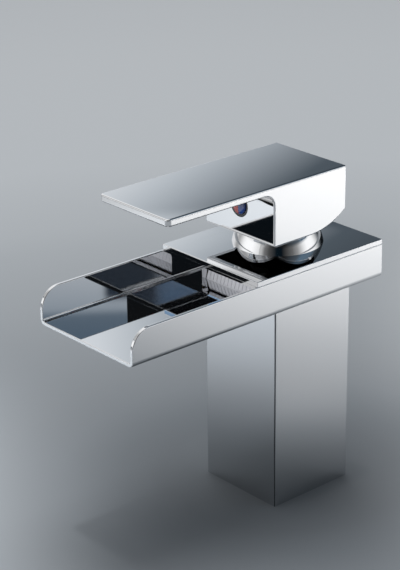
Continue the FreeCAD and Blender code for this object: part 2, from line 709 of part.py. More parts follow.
# ---------------------------------------------------------------- all pieces
def build():
    """Write every node."""
    os.makedirs("parts", exist_ok=True)
    save("column_shell", column_shell())
    save("base_plate", base_plate())
    save("base_gasket", gasket_ring())
    save("mounting_studs", *mounting_studs())
    rubber_top = -DECK_THICKNESS
    steel_top = rubber_top - CLAMP_RUBBER
    nut_bottom = steel_top - CLAMP_STEEL - CLAMP_NUT_HEIGHT
    save("clamp_rubber", horseshoe((steel_top, rubber_top)))
    save("clamp_plate", horseshoe((steel_top - CLAMP_STEEL, steel_top)))
    save("clamp_nuts", *clamp_nuts(nut_bottom))

    save("spout_trough", spout_trough())
    save("rear_plate", rear_plate())
    save("outlet_baffle", outlet_baffle())
    save("flow_comb", flow_comb())
    save("top_cover", top_cover())

    save("valve_body", valve_body())
    save("valve_gasket", valve_gasket())
    save("valve_lock_ring", valve_lock_ring())

    below, above = seals()
    save("port_seals", *below)
    save("disc_seals", *above)
    save("cartridge_base", cartridge_base())
    save("cartridge_shell", cartridge_shell())
    save("fixed_disc", fixed_disc())
    save("moving_disc", moving_disc())
    save("disc_carrier", disc_carrier())
    save("cartridge_rotor", cartridge_rotor())
    save("rotor_pin", rotor_pin())
    save("lever_stem", lever_stem())

    save("retaining_nut", retaining_nut())
    save("dome_cap", dome_cap())

    cup, hot, cold = indicator()
    save("lever_handle", lever_handle())
    save("grub_screw", grub_screw())
    save("indicator_cup", cup)
    save("indicator_hot", hot)
    save("indicator_cold", cold)

    slide = ARM * math.sin(math.radians(LIFT_DEGREES))
    print("pivot height", round(PIVOT_Z, 3), "slider travel", round(slide, 4))
    print("slider travel per radian", round(slide / math.radians(LIFT_DEGREES), 5))


build()
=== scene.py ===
"""Looks of a single-lever waterfall basin faucet: finishes, modelled pieces, studio and camera.

Lengths are metres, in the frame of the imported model: +Z up, the spout towards -Y, X across.
"""
import sys
import logging
import math
from dataclasses import dataclass
from enum import Enum

import bmesh
import bpy
from mathutils import Matrix, Vector


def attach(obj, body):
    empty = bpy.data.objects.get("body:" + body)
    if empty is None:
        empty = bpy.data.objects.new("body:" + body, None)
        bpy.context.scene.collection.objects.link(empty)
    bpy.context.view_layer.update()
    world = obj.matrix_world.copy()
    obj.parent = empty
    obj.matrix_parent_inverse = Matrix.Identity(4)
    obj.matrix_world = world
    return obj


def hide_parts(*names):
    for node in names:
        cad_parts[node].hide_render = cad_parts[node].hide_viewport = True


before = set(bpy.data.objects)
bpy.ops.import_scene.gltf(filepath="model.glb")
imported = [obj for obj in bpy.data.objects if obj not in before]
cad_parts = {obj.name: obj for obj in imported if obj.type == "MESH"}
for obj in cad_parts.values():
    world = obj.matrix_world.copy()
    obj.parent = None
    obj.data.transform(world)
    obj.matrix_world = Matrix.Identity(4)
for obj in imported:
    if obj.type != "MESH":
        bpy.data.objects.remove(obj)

MM = 0.001
Colour = tuple[float, float, float]
Profile = list[tuple[float, float]]
log = logging.getLogger("faucet")


# ---------------------------------------------------------------- node trees
class Signal:
    """An output socket that takes part in Python arithmetic."""

    def __init__(self, tree: "Tree", socket: bpy.types.NodeSocket) -> None:
        """Keep the socket and the tree that it belongs to."""
        self.tree = tree
        self.socket = socket

    def __add__(self, other: "Operand") -> "Signal":
        """Sum."""
        return self.tree.math("ADD", self, other)

    def __radd__(self, other: "Operand") -> "Signal":
        """Sum, with the number on the left."""
        return self.tree.math("ADD", other, self)

    def __sub__(self, other: "Operand") -> "Signal":
        """Difference."""
        return self.tree.math("SUBTRACT", self, other)

    def __rsub__(self, other: "Operand") -> "Signal":
        """Difference, with the number on the left."""
        return self.tree.math("SUBTRACT", other, self)

    def __mul__(self, other: "Operand") -> "Signal":
        """Product."""
        return self.tree.math("MULTIPLY", self, other)

    def __truediv__(self, other: "Operand") -> "Signal":
        """Quotient."""
        return self.tree.math("DIVIDE", self, other)

    def smooth(self, low: float, high: float) -> "Signal":
        """0 below low, 1 above high, with a soft passage.

        Args:
            low: Value where the passage starts.
            high: Value where it ends.

        Returns:
            The passage, from 0 to 1.
        """
        settings = {"interpolation_type": "SMOOTHSTEP"}
        inputs = {"Value": self, "From Min": low, "From Max": high}
        return self.tree.node("ShaderNodeMapRange", settings, inputs)["Result"]


Operand = Signal | float


class Node:
    """A node whose outputs are read by name or number."""

    def __init__(self, tree: "Tree", node: bpy.types.Node) -> None:
        """Keep the node and its tree."""
        self.tree = tree
        self.node = node

    def __getitem__(self, key: str | int) -> Signal:
        """Output socket by name or number."""
        return Signal(self.tree, self.node.outputs[key])


class Tree:
    """A shader or geometry tree that is written as expressions."""

    def __init__(self, tree: bpy.types.NodeTree) -> None:
        """Empty the tree."""
        self.tree = tree
        tree.nodes.clear()

    def node(self, kind: str, settings: dict | None = None, inputs: dict | None = None) -> Node:
        """Add a node.

        Args:
            kind: The node's type.
            settings: Its properties, set first; "stops" are a ramp's places and colours.
            inputs: Values or links of its sockets, by name or number.

        Returns:
            The node.
        """
        made = self.tree.nodes.new(kind)
        for name, value in (settings or {}).items():
            if name == "stops":
                self._set_stops(made.color_ramp, value)
            else:
                setattr(made, name, value)
        for key, value in (inputs or {}).items():
            if isinstance(value, Signal):
                self.tree.links.new(value.socket, made.inputs[key])
            else:
                made.inputs[key].default_value = value
        return Node(self, made)

    @staticmethod
    def _set_stops(ramp: bpy.types.ColorRamp, stops: list[tuple[float, Colour]]) -> None:
        """Write a ramp's stops."""
        while len(ramp.elements) < len(stops):
            ramp.elements.new(1.0)
        for element, (place, colour) in zip(ramp.elements, stops):
            element.position = place
            element.color = (*colour, 1.0)

    def math(self, operation: str, *values: Operand) -> Signal:
        """One Math node.

        Args:
            operation: The node's operation.
            values: Its inputs, in order.

        Returns:
            The result.
        """
        return self.node("ShaderNodeMath", {"operation": operation}, dict(enumerate(values)))[0]

    def mix(self, factor: Operand, first: Signal | Colour, second: Signal | Colour) -> Signal:
        """Colour between two colours.

        Args:
            factor: 0 gives the first, 1 the second.
            first: A colour or its link.
            second: A colour or its link.

        Returns:
            The mixed colour.
        """
        full = [(*c, 1.0) if isinstance(c, tuple) else c for c in (first, second)]
        inputs = {0: factor, 6: full[0], 7: full[1]}
        return self.node("ShaderNodeMix", {"data_type": "RGBA"}, inputs)[2]

    def place(self, scale: Vector = Vector((1, 1, 1)), turn: Vector = Vector((0, 0, 0))) -> Signal:
        """Place on the piece, stretched and turned.

        Args:
            scale: Stretch along each axis.
            turn: Angles about each axis, in radians.

        Returns:
            The coordinates.
        """
        spot = self.node("ShaderNodeTexCoord")["Object"]
        inputs = {"Vector": spot, "Scale": scale, "Rotation": turn}
        return self.node("ShaderNodeMapping", None, inputs)["Vector"]

    def noise(self, size: float, detail: float = 2.0, at: Signal | None = None) -> Signal:
        """Soft noise from 0 to 1.

        Args:
            size: Width of one blotch, in metres.
            detail: Number of finer layers.
            at: Coordinates, or the plain place on the piece.

        Returns:
            The noise.
        """
        inputs = {"Vector": at or self.place(), "Scale": 1.0 / size, "Detail": detail}
        return self.node("ShaderNodeTexNoise", None, inputs)["Fac"]

    def bump(self, height: Signal, depth: float) -> Signal:
        """Normal bent by a height from 0 to 1.

        Args:
            height: The height.
            depth: Metres that a height of 1 stands for.

        Returns:
            The normal.
        """
        inputs = {"Height": height, "Distance": depth, "Strength": 1.0}
        return self.node("ShaderNodeBump", None, inputs)["Normal"]


# ---------------------------------------------------------------- finishes
@dataclass(frozen=True)
class Finish:
    """What every finish has: a name and one material made from it."""

    name: str

    def material(self) -> bpy.types.Material:
        """The finish's material, made when it is first asked for."""
        found = bpy.data.materials.get("finish_" + self.name)
        if found:
            return found
        made = bpy.data.materials.new("finish_" + self.name)
        made.use_nodes = True
        tree = Tree(made.node_tree)
        shader = tree.node("ShaderNodeBsdfPrincipled", None, self.constants() | self.signals(tree))
        tree.node("ShaderNodeOutputMaterial", None, {"Surface": shader["BSDF"]})
        return made

    def constants(self) -> dict:
        """Sockets that are the same all over the surface."""
        return {}

    def signals(self, tree: Tree) -> dict:
        """Sockets that vary over the surface."""
        raise NotImplementedError

    def dress(self, *nodes: str) -> None:
        """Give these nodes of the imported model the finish."""
        for name in nodes:
            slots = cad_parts[name].material_slots
            for slot in slots:
                slot.material = self.material()
            log.info("%s: %s finish", name, self.name)


@dataclass(frozen=True)
class Chrome(Finish):
    """Polished chromium plating: slow waves of the polished metal, faint haze and wipe marks."""

    tint: Colour = (0.72, 0.727, 0.738)
    polish: float = 0.02
    haze: float = 0.03
    wave: float = 2.0e-6
    wave_size: float = 0.03

    def constants(self) -> dict:
        """Bare metal."""
        return {"Metallic": 1.0}

    def signals(self, tree: Tree) -> dict:
        """Tint, gloss and waviness over the plating."""
        smear = tree.noise(0.035, 3.0, tree.place(Vector((1, 0.35, 1)), Vector((0.3, 0.2, 0.5))))
        spots = tree.noise(0.0012, 1.0).smooth(0.72, 0.8)
        wiped = smear.smooth(0.5, 0.8)
        rough = self.polish + wiped * self.haze + spots * (self.haze * 0.5)
        dull = tuple(c * 0.95 for c in self.tint)
        colour = tree.mix(wiped * 0.5 + spots * 0.3, self.tint, dull)
        waves = tree.noise(self.wave_size, 1.0)
        grain = tree.noise(0.0006, 2.0)
        height = waves + grain * 0.01
        return {"Base Color": colour, "Roughness": rough, "Normal": tree.bump(height, self.wave)}


@dataclass(frozen=True)
class PaintedShadeBlock:
    """Block of a piece, alike at both sides of its middle, painted dark: painted shade that stands in for
    the dark surroundings its edges or hollow would mirror.
    """

    low: tuple[float, float, float]
    high: tuple[float, float, float]
    # Painted shade: the near-black colour that the block is painted.
    shade: Colour = (0.05, 0.052, 0.056)
    dull: float = 0.1

    def share(self, tree: Tree, axes: tuple[Signal, Signal, Signal]) -> Signal:
        """1 inside the block and 0 outside.

        Args:
            tree: The finish's tree.
            axes: Distance from the middle plane, Y and Z of the place on the piece.

        Returns:
            The share.
        """
        inside: Operand = 1.0
        for axis, low, high in zip(axes, self.low, self.high):
            above = tree.math("GREATER_THAN", axis, low * MM)
            inside = above * tree.math("LESS_THAN", axis, high * MM) * inside
        return inside


@dataclass(frozen=True)
class ShadePaintedChrome(Chrome):
    """Plating with painted shade: dark lines painted along sharp edges as painted reflections of dark
    surroundings, and the hub's hollow painted near black.
    """

    painted_shades: tuple[PaintedShadeBlock, ...] = ()

    def signals(self, tree: Tree) -> dict:
        """Plating all over, with each block's painted shade mixed into its colour."""
        bright = super().signals(tree)
        spot = tree.node("ShaderNodeSeparateXYZ", None, {"Vector": tree.place()})
        axes = (tree.math("ABSOLUTE", spot["X"]), spot["Y"], spot["Z"])
        for shade_block in self.painted_shades:
            inside = shade_block.share(tree, axes)
            # Painted shade: inside the block its dark colour replaces the plating's tint.
            bright["Base Color"] = tree.mix(inside, bright["Base Color"], shade_block.shade)
            bright["Roughness"] = bright["Roughness"] + inside * shade_block.dull
        return bright


@dataclass(frozen=True)
class Moulded(Finish):
    """Moulded plastic or rubber: fine grain and slight change of shade."""

    colour: Colour = (0.5, 0.5, 0.5)
    gloss: float = 0.4
    grain: float = 0.0004
    relief: float = 0.00001

    def signals(self, tree: Tree) -> dict:
        """Shade, gloss and grain over the moulding."""
        cloud = tree.noise(0.012, 3.0)
        speck = tree.noise(self.grain, 2.0)
        dark = tuple(c * 0.82 for c in self.colour)
        colour = tree.mix(cloud * 0.7 + speck * 0.3, dark, self.colour)
        rough = self.gloss + (cloud - 0.5) * 0.12 + (speck - 0.5) * 0.08
        return {"Base Color": colour, "Roughness": rough, "Normal": tree.bump(speck, self.relief)}


@dataclass(frozen=True)
class Machined(Finish):
    """Turned or milled metal: fine tool marks, stains and a little unevenness of gloss."""

    colour: Colour = (0.6, 0.6, 0.6)
    stain: Colour = (0.4, 0.4, 0.4)
    gloss: float = 0.28
    marks: float = 0.00035

    def constants(self) -> dict:
        """Bare metal."""
        return {"Metallic": 1.0}

    def signals(self, tree: Tree) -> dict:
        """Tool marks, stains and gloss."""
        rings = tree.noise(self.marks, 2.0, tree.place(Vector((0.15, 0.15, 1))))
        cloud = tree.noise(0.01, 4.0)
        colour = tree.mix(cloud.smooth(0.45, 0.75) * 0.7, self.colour, self.stain)
        rough = self.gloss + rings * 0.12 + cloud * 0.1
        return {"Base Color": colour, "Roughness": rough, "Normal": tree.bump(rings, 0.000008)}


@dataclass(frozen=True)
class Lens(Finish):
    """Tinted gloss plastic with a clear coat and fine dust."""

    colour: Colour = (0.5, 0.05, 0.04)
    shine: float = 0.6

    def constants(self) -> dict:
        """Clear coat over the colour."""
        return {"Coat Roughness": 0.04, "IOR": 1.49}

    def signals(self, tree: Tree) -> dict:
        """Depth of the colour and dust."""
        cloud = tree.noise(0.003, 2.0)
        dust = tree.noise(0.0003, 1.0).smooth(0.68, 0.78)
        deep = tuple(c * 0.7 for c in self.colour)
        pale = tuple(0.85 * c + 0.06 for c in self.colour)
        colour = tree.mix(dust * 0.4, tree.mix(cloud, deep, self.colour), pale)
        rough = 0.12 + dust * 0.3
        coat = self.shine - dust * 0.3
        return {"Base Color": colour, "Roughness": rough, "Coat Weight": coat}


# Limits of the blocks painted dark as painted shade, in millimetres. FAR stands for no limit.
FAR = 1000.0
COLUMN_CORNER = 24.05
HUB_SIDE, HUB_FRONT, HUB_BACK, HUB_ROOF = 20.8, -21.5, 18.5, 158.6
PADDLE_SIDE, PADDLE_FRONT, PADDLE_BACK = 23.1, -86.7, -32.0
PADDLE_FRONT_TOP, PADDLE_SIDE_TOP = 160.0, 159.9
TROUGH_SIDE, TROUGH_FRONT, TROUGH_BACK, TROUGH_TOP = 32.5, -115.0, 31.0, 105.5

# Painted reflection: dark lines painted down the column's four upright edges.
COLUMN_CORNER_SHADE = (
    PaintedShadeBlock((COLUMN_CORNER, -FAR, -FAR), (FAR, -COLUMN_CORNER, FAR)),
    PaintedShadeBlock((COLUMN_CORNER, COLUMN_CORNER, -FAR), (FAR, FAR, FAR)),
)
# Painted shade: the hollow inside the hub painted near black, and made rougher.
HUB_HOLLOW_SHADE = PaintedShadeBlock(
    (-FAR, HUB_FRONT, -FAR), (HUB_SIDE, HUB_BACK, HUB_ROOF),
    shade=(0.02, 0.02, 0.022), dull=0.6)
# Painted reflection: dark bands painted along the paddle's lower front and near side edges.
PADDLE_EDGE_SHADE = (
    PaintedShadeBlock((-FAR, -FAR, -FAR), (FAR, PADDLE_FRONT, PADDLE_FRONT_TOP)),
    PaintedShadeBlock((PADDLE_SIDE, -FAR, -FAR), (FAR, PADDLE_BACK, PADDLE_SIDE_TOP)),
)
# Painted reflection: a dark line painted along the trough's lower outer edges.
TROUGH_EDGE_SHADE = PaintedShadeBlock(
    (TROUGH_SIDE, TROUGH_FRONT, -FAR), (FAR, TROUGH_BACK, TROUGH_TOP), shade=(0.02, 0.021, 0.024))

CHROME_BODY = ShadePaintedChrome("chrome_body", painted_shades=COLUMN_CORNER_SHADE)
CHROME_HUB = ShadePaintedChrome("chrome_hub", painted_shades=(HUB_HOLLOW_SHADE, *PADDLE_EDGE_SHADE))
CHROME_TROUGH = ShadePaintedChrome("chrome_trough", wave=3.0e-6, wave_size=0.04, painted_shades=(TROUGH_EDGE_SHADE,))
CHROME_SHEET = Chrome("chrome_sheet", wave=3.0e-6, wave_size=0.04)
CHROME_TURNED = Chrome("chrome_turned", polish=0.05, wave=1.0e-6, haze=0.02)
COMB_PLASTIC = Moulded("comb_plastic", colour=(0.56, 0.57, 0.61), gloss=0.3)
BLACK_RUBBER = Moulded("black_rubber", colour=(0.03, 0.03, 0.032), gloss=0.7)
SEAL_RUBBER = Moulded("seal_rubber", colour=(0.05, 0.05, 0.055), gloss=0.55)
FIBRE = Moulded("fibre_gasket", colour=(0.25, 0.1, 0.07), gloss=0.8, grain=0.0008)
WHITE_PLASTIC = Moulded("white_plastic", colour=(0.82, 0.82, 0.8), gloss=0.35)
GREY_PLASTIC = Moulded("grey_plastic", colour=(0.35, 0.36, 0.38), gloss=0.38)
CERAMIC = Moulded("ceramic", colour=(0.9, 0.89, 0.86), gloss=0.2, grain=0.0002, relief=0.000002)
BRASS = Machined("brass", colour=(0.72, 0.52, 0.26), stain=(0.5, 0.34, 0.16))
# Painted shade: brass painted nearly black for the lever stem and retaining nut, which sit in the hub's
# shadow.
SHADED_BRASS = Machined("shaded_brass", colour=(0.10, 0.08, 0.055), stain=(0.05, 0.04, 0.03), gloss=0.4)
ZINC = Machined("zinc", colour=(0.62, 0.62, 0.6), stain=(0.5, 0.47, 0.38))
STAINLESS = Machined("stainless", colour=(0.6, 0.6, 0.61), stain=(0.45, 0.45, 0.45), gloss=0.2)
BLACKENED = Machined("blackened", colour=(0.12, 0.12, 0.13), stain=(0.06, 0.05, 0.05), gloss=0.35)
LENS_RED = Lens("lens_red", colour=(0.42, 0.03, 0.025))
LENS_BLUE = Lens("lens_blue", colour=(0.006, 0.05, 0.26))
LENS_BLACK = Lens("lens_black", colour=(0.004, 0.004, 0.006), shine=0.3)


# ---------------------------------------------------------------- light of the room
def grey(light: float, blue: float = 0.0) -> Colour:
    """Neutral light, or a little blue.

    Args:
        light: Its level.
        blue: Share by which blue is above and red below that level.

    Returns:
        The colour.
    """
    return (light * (1 - blue), light, light * (1 + blue))


WHITE = (1.0, 1.0, 1.0)
WARM = (1.0, 0.93, 0.867)


@dataclass(frozen=True)
class Card:
    """Card on the wall: a block of bearings and heights, in degrees, with crisp edges."""

    bearings: tuple[float, float]
    heights: tuple[float, float]
    light: Colour
    cover: float
    soft: float = 0.15

    def share(self, height: Signal, bearing: Signal) -> Signal:
        """Share of the wall's light that the card takes over.

        Args:
            height: Height of the direction.
            bearing: Its bearing.

        Returns:
            The share.
        """
        inside = self._within(bearing, self.bearings) * self._within(height, self.heights)
        return inside * self.cover

    def _within(self, value: Signal, limits: tuple[float, float]) -> Signal:
        """1 between the limits and 0 outside."""
        low, high = limits
        past = value.smooth(high - self.soft, high + self.soft)
        return value.smooth(low - self.soft, low + self.soft) * (1 - past)


CARDS = [
    Card((30, 64), (23.15, 27), (0.05, 0.10, 0.16), 0.68),
    Card((40, 52.4), (22.05, 22.75), (0.0, 0.01, 0.03), 0.97),
    Card((-131.6, -129.4), (22.05, 24), (0.26, 0.45, 0.70), 0.9),
    Card((-134, -129.8), (21.2, 21.85), (1.5, 1.5, 1.5), 0.95),
    Card((-129.4, -125), (20.9, 24), (0.03, 0.06, 0.10), 0.9),
]
# Floor colour by distance from the faucet's axis, in metres: painted shade, darkest at the foot and paler
# further out.
FLOOR_SHADE_STOPS = [
    (0.06, grey(0.15, 0.09)), (0.08, grey(0.168, 0.09)), (0.11, grey(0.212, 0.08)),
    (0.14, grey(0.24, 0.07)), (0.17, grey(0.265, 0.07)), (0.25, grey(0.318, 0.06)),
    (0.34, grey(0.365, 0.055)), (0.38, grey(0.395, 0.05)), (0.5, grey(0.445, 0.045)),
    (0.8, grey(0.46, 0.04)),
]
LOW_WALLS = [
    (-180, grey(1.02)), (-162, grey(1.34)), (-146, grey(1.34)), (-137, grey(1.27)),
    (-129, grey(1.08)), (-121, grey(0.75)), (-114, grey(0.52)), (-106, grey(0.5)), (-99, grey(0.8)),
    (-90, grey(1.1)), (-54.2, grey(0.99, 0.03)), (-50.2, grey(0.59, 0.08)), (-46.4, grey(0.12, 0.2)),
    (-38, grey(0.06, 0.2)), (-26, grey(0.01, 0.2)), (-8, grey(0.01, 0.2)), (0, grey(0.09, 0.1)),
    (8, grey(0.35, 0.05)), (18, grey(0.85)), (28, grey(1.24)), (38, grey(1.33)), (52, grey(1.3)),
    (62, grey(1.05)), (72, grey(0.65)), (80, grey(0.38)), (94, grey(0.16)), (112, grey(0.05)),
    (121, grey(0.008, 0.6)), (134, grey(0.01, 0.6)), (152, grey(0.085)), (164, grey(0.22)),
    (172, grey(0.64)),
]
HIGH_WALLS = [
    (-180, grey(0.8)), (-160, grey(1.1)), (-150, grey(0.95)), (-138, grey(0.8)), (-128, grey(0.62)),
    (-117, grey(0.5)), (-104, grey(0.7)), (-94, grey(1.05)), (-70, grey(1.1)),
    (-54.2, grey(0.99, 0.03)), (-52.2, grey(0.87, 0.05)), (-50.2, grey(0.59, 0.08)),
    (-48.6, grey(0.35, 0.11)), (-47.4, grey(0.18, 0.14)), (-46.4, grey(0.12, 0.2)),
    (-43, grey(0.04, 0.2)), (-5, grey(0.04, 0.2)), (12, grey(0.10, 0.15)), (30, grey(0.24, 0.3)),
    (60, grey(0.24, 0.35)), (75, grey(0.13, 0.2)), (100, grey(0.06, 0.15)), (114, grey(0.02)),
    (142, grey(0.01)), (152, grey(0.05)), (165, grey(0.25)), (175, grey(0.5)),
]


# ---------------------------------------------------------------- studio
@dataclass
class Camera:
    """The camera at the photograph's viewing angle."""

    aim: Vector = Vector((4.83 * MM, -53.15 * MM, 117.93 * MM))
    azimuth: float = 49.15
    elevation: float = 22.38
    roll: float = -0.76
    distance: float = 828.5 * MM
    lens: float = 114.8
    sensor: float = 36.0

    def build(self) -> None:
        """Put the camera in place and make it the scene's own."""
        data = bpy.data.cameras.new("camera")
        data.lens = self.lens
        data.sensor_width = self.sensor
        data.clip_start = 0.01
        camera = bpy.data.objects.new("camera", data)
        bpy.context.scene.collection.objects.link(camera)
        a, e = math.radians(self.azimuth), math.radians(self.elevation)
        ahead = Vector((-math.sin(a) * math.cos(e), math.cos(a) * math.cos(e), -math.sin(e)))
        right = Vector((math.cos(a), math.sin(a), 0))
        up = right.cross(ahead)
        axes = Matrix((right, up, -ahead)).transposed()
        turn = axes.to_4x4() @ Matrix.Rotation(math.radians(self.roll), 4, "Z")
        camera.matrix_world = Matrix.Translation(self.aim - ahead * self.distance) @ turn
        bpy.context.scene.camera = camera


@dataclass(frozen=True)
class Pool:
    """Pool of light on the floor, which the upright faces mirror."""

    name: str
    middle: tuple[float, float]
    radius: float
    power: float
    colour: Colour = WARM


POOLS = (
    Pool("pool_right", (0.25, 0.42), 0.46, 388.0),
    Pool("pool_foot", (0.1, 0.062), 0.07, 95.0),
    Pool("pool_front", (-0.18, -0.265), 0.24, 240.0, WHITE),
    Pool("pool_corner", (-0.36, -0.39), 0.17, 95.0),
)


@dataclass
class Studio:
    """Pale floor, painted darker towards the faucet's foot as painted shade, soft lamps and the light of
    the room's walls.

    Heights and bearings of the room are in degrees; a bearing is counted from +Y towards +X.
    """

    floor_size: float = 40.0
    floor_blotch: float = 0.4
    floor_unevenness: float = 0.03
    lamp_height: float = 2.0
    pool_lamp: float = 0.05
    spill_from: Vector = Vector((-0.1, -1.0, 0.32))
    spill_aim: Vector = Vector((0, -0.03, 0.11))
    spill_power: float = 25.0
    spill_spread: float = 6.0
    spill_lamp: float = 0.02
    overhead_middle: Vector = Vector((-0.3, 0.2, 0))
    overhead_power: float = 22.0
    overhead_size: float = 1.2
    bounces: int = 8
    lean_start: float = 19.4
    lean_range: tuple[float, float] = (-1.5, 3.0)
    lean_rate: float = 1.61
    step_heights: tuple[float, float] = (19.9, 20.7)
    step_turn: float = 4.2
    upper_walls: tuple[float, float] = (17.0, 26.0)
    ceiling: tuple[float, float] = (62.0, 72.0)
    ceiling_light: Colour = (1.3, 1.3, 1.3)

    def build(self) -> None:
        """Make floor, lamps and room, and set the view transform."""
        scene = bpy.context.scene
        scene.view_settings.view_transform = "Standard"
        scene.cycles.glossy_bounces = self.bounces
        self._floor()
        self._room()
        for pool in POOLS:
            self._light_pool(pool)
        self._spill()
        self._overhead()

    def _floor(self) -> None:
        """Deck that the faucet stands on, its colour painted darker the nearer it lies to the faucet:
        painted shade round the foot.
        """
        half = self.floor_size / 2
        corners = [(-half, -half, 0), (half, -half, 0), (half, half, 0), (-half, half, 0)]
        mesh = bpy.data.meshes.new("floor")
        mesh.from_pydata(corners, [], [(0, 1, 2, 3)])
        floor = bpy.data.objects.new("floor", mesh)
        bpy.context.scene.collection.objects.link(floor)
        material = bpy.data.materials.new("floor_with_painted_shade")
        material.use_nodes = True
        tree = Tree(material.node_tree)
        away = tree.node("ShaderNodeVectorMath", {"operation": "LENGTH"}, {0: tree.place()})["Value"]
        grade = away + (tree.noise(self.floor_blotch, 3.0) - 0.5) * self.floor_unevenness
        # Painted shade: the floor's colour darkens towards the faucet.
        colour = tree.node("ShaderNodeValToRGB", {"stops": FLOOR_SHADE_STOPS}, {"Fac": grade})["Color"]
        inputs = {"Base Color": colour, "Roughness": 0.9, "Specular IOR Level": 0.0}
        shader = tree.node("ShaderNodeBsdfPrincipled", None, inputs)
        tree.node("ShaderNodeOutputMaterial", None, {"Surface": shader["BSDF"]})
        mesh.materials.append(material)

    def _lamp(self, name: str, kind: str, at: Vector, power: float) -> bpy.types.Object:
        """Lamp high above, pointing down, that polished metal doesn't mirror.

        Args:
            name: The lamp's name.
            kind: Blender's type of lamp.
            at: The point of the floor below it.
            power: Watts.

        Returns:
            The lamp.
        """
        data = bpy.data.lights.new(name, kind)
        data.energy = power
        lamp = bpy.data.objects.new(name, data)
        bpy.context.scene.collection.objects.link(lamp)
        lamp.location = at + Vector((0, 0, self.lamp_height))
        lamp.visible_glossy = False
        return lamp

    def _light_pool(self, pool: Pool) -> None:
        """Hang a pool's lamp."""
        data = self._lamp(pool.name, "SPOT", Vector((*pool.middle, 0)), pool.power).data
        data.color = pool.colour
        data.spot_size = 2 * math.atan(pool.radius / self.lamp_height)
        data.spot_blend = 1.0
        data.shadow_soft_size = self.pool_lamp

    def _spill(self) -> None:
        """Narrow lamp from the front, into the mouth of the water chamber."""
        lamp = self._lamp("spill", "SPOT", self.spill_from, self.spill_power)
        lamp.location = self.spill_from
        lamp.rotation_euler = (self.spill_aim - self.spill_from).to_track_quat("-Z", "Y").to_euler()
        lamp.data.spot_size = math.radians(self.spill_spread)
        lamp.data.spot_blend = 1.0
        lamp.data.shadow_soft_size = self.spill_lamp

    def _overhead(self) -> None:
        """Wide soft lamp over everything."""
        data = self._lamp("overhead", "AREA", self.overhead_middle, self.overhead_power).data
        data.shape = "DISK"
        data.size = self.overhead_size

    def _room(self) -> None:
        """Walls of the room, as light by direction: white cards, grey paper and dark gaps."""
        world = bpy.data.worlds.new("room")
        bpy.context.scene.world = world
        world.use_nodes = True
        tree = Tree(world.node_tree)
        way = tree.node("ShaderNodeTexCoord")["Generated"]
        parts = tree.node("ShaderNodeSeparateXYZ", None, {"Vector": way})
        height = tree.math("ARCSINE", parts["Z"]) * math.degrees(1)
        bearing = tree.math("ARCTAN2", parts["X"], parts["Y"]) * math.degrees(1)
        lean = tree.math("MAXIMUM", height - self.lean_start, self.lean_range[0])
        lean = tree.math("MINIMUM", lean, self.lean_range[1]) * self.lean_rate
        step = height.smooth(*self.step_heights) * self.step_turn
        turn = (bearing + lean - step) / 360 + 0.5
        low, high = (self._walls(tree, turn, stops) for stops in (LOW_WALLS, HIGH_WALLS))
        colour = tree.mix(height.smooth(*self.upper_walls), low, high)
        for card in CARDS:
            colour = tree.mix(card.share(height, bearing), colour, card.light)
        colour = tree.mix(height.smooth(*self.ceiling), colour, self.ceiling_light)
        background = tree.node("ShaderNodeBackground", None, {"Color": colour, "Strength": 1.0})
        tree.node("ShaderNodeOutputWorld", None, {"Surface": background["Background"]})

    @staticmethod
    def _walls(tree: Tree, turn: Signal, stops: list[tuple[float, Colour]]) -> Signal:
        """Light of one band of the walls.

        Args:
            tree: The room's tree.
            turn: Bearing as a share of a full turn.
            stops: Bearings in degrees and their light.

        Returns:
            The band's colour.
        """
        shares = [(bearing / 360 + 0.5, light) for bearing, light in stops]
        return tree.node("ShaderNodeValToRGB", {"stops": shares}, {"Fac": turn})["Color"]


# ---------------------------------------------------------------- shapes
class Body(Enum):
    """Bodies of the part that carry modelled pieces."""

    FAUCET = "faucet"
    LEVER = "lever"


def lathe(profile: Profile, steps: int = 96) -> bmesh.types.BMesh:
    """Solid turned about Z; the profile starts and ends on the axis, or closes on itself.

    Args:
        profile: Radius and height of each point, in millimetres.
        steps: Sides of the round.

    Returns:
        The shape.
    """
    shape = bmesh.new()
    rings = []
    for radius, height in profile:
        if radius < 1e-6:
            rings.append([shape.verts.new((0, 0, height))] * steps)
            continue
        turns = [math.tau * k / steps for k in range(steps)]
        rings.append([shape.verts.new((radius * math.cos(t), radius * math.sin(t), height)) for t in turns])
    pairs = list(zip(rings, rings[1:]))
    if profile[0][0] > 1e-6:
        pairs.append((rings[-1], rings[0]))
    for lower, upper in pairs:
        for k in range(steps):
            following = (k + 1) % steps
            around = [lower[k], lower[following], upper[following], upper[k]]
            shape.faces.new(list(dict.fromkeys(around)))
    bmesh.ops.recalc_face_normals(shape, faces=shape.faces)
    return shape


def quarter(centre: tuple[float, float], radius: float, start: float, steps: int = 5) -> Profile:
    """Quarter round of a profile, turning clockwise.

    Args:
        centre: Its centre, as radius and height.
        radius: Its radius.
        start: Angle of its first point, in degrees.
        steps: Number of points.

    Returns:
        The points.
    """
    angles = [math.radians(start - 90 * k / (steps - 1)) for k in range(steps)]
    return [(centre[0] + radius * math.cos(a), centre[1] + radius * math.sin(a)) for a in angles]


def pushed(outline: list[Vector], along: Vector) -> bmesh.types.BMesh:
    """Solid between a flat outline and its copy.

    Args:
        outline: Corners of the outline.
        along: Way from the outline to its copy.

    Returns:
        The shape.
    """
    shape = bmesh.new()
    near = [shape.verts.new(point) for point in outline]
    far = [shape.verts.new(point + along) for point in outline]
    shape.faces.new(near)
    shape.faces.new(far)
    count = len(outline)
    for k in range(count):
        following = (k + 1) % count
        shape.faces.new((near[k], near[following], far[following], far[k]))
    bmesh.ops.recalc_face_normals(shape, faces=shape.faces)
    return shape


def as_mesh(name: str, shape: bmesh.types.BMesh) -> bpy.types.Mesh:
    """Mesh of a shape, which is used up."""
    mesh = bpy.data.meshes.new(name)
    shape.to_mesh(mesh)
    shape.free()
    return mesh


